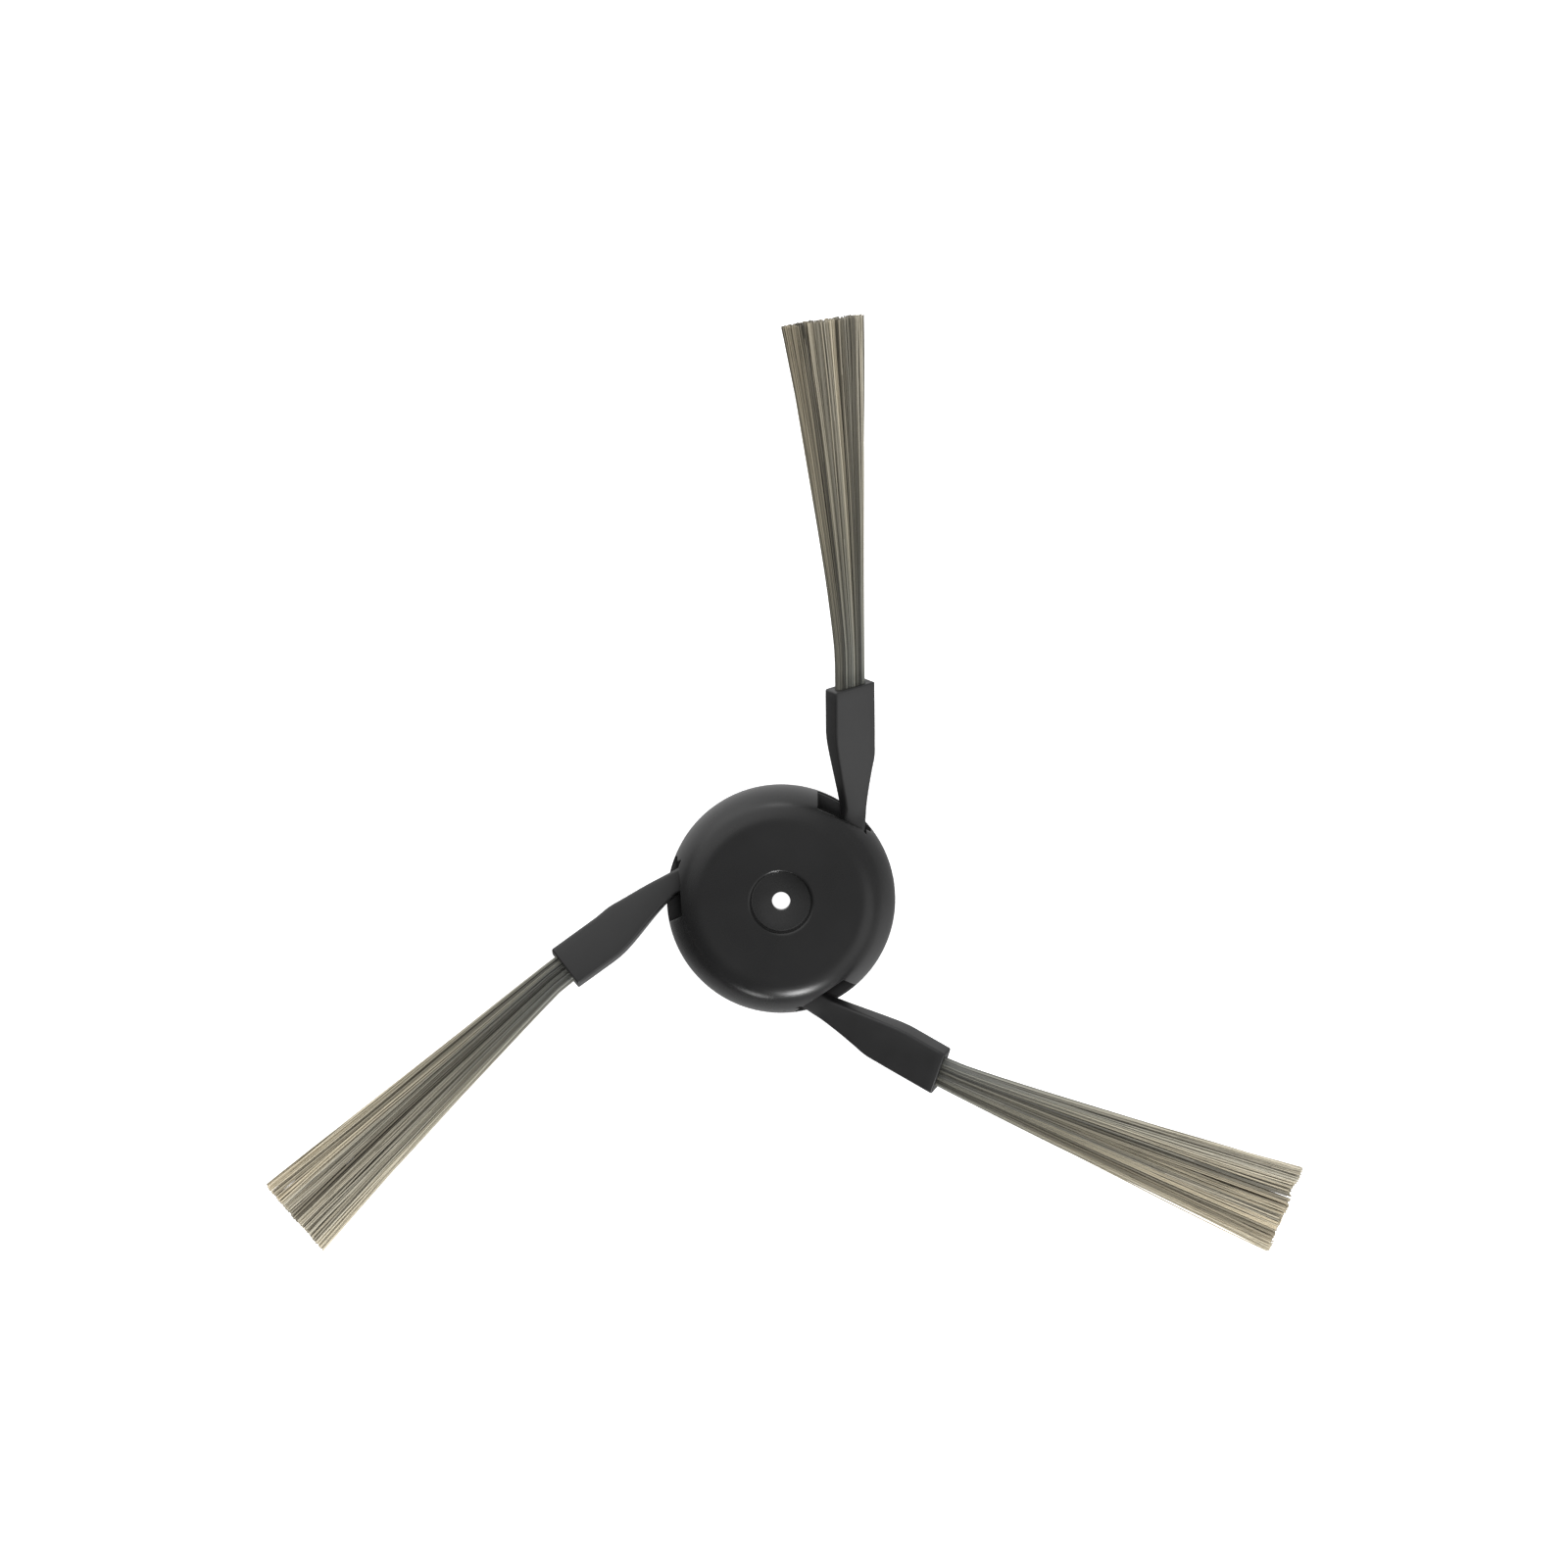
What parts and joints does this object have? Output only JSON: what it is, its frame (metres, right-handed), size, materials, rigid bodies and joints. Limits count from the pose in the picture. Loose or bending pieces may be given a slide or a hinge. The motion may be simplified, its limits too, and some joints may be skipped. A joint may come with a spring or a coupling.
{
  "type": "robot vacuum side brush",
  "caption": "Round black hub with a central screw hole and flat rubber arms leaving it at a tangent, each arm gripping a fanned tuft of bristles that sweeps dust inward.",
  "frame": {"origin": "centre of the screw hole at the underside of the screw web, where the brush seats on the end of the drive shaft", "axes": "+Z along the hub's axis toward the floor that the brush sweeps, +Y toward the side of the top arm in the picture, +X to the picture's right"},
  "size_m": [0.1591, 0.1433, 0.0207],
  "materials": {
    "hub_plastic": "satin black moulding",
    "arm_rubber": "soft matte black",
    "bristle_nylon": "translucent brown-grey filament"
  },
  "bodies": {
    "root": {"hub_cap": "hub_plastic", "hub_base": "hub_plastic", "rubber_arm_1": "arm_rubber", "rubber_arm_2": "arm_rubber", "rubber_arm_3": "arm_rubber", "bristle_tuft_1": "bristle_nylon", "bristle_tuft_2": "bristle_nylon", "bristle_tuft_3": "bristle_nylon"}
  },
  "joints": []
}
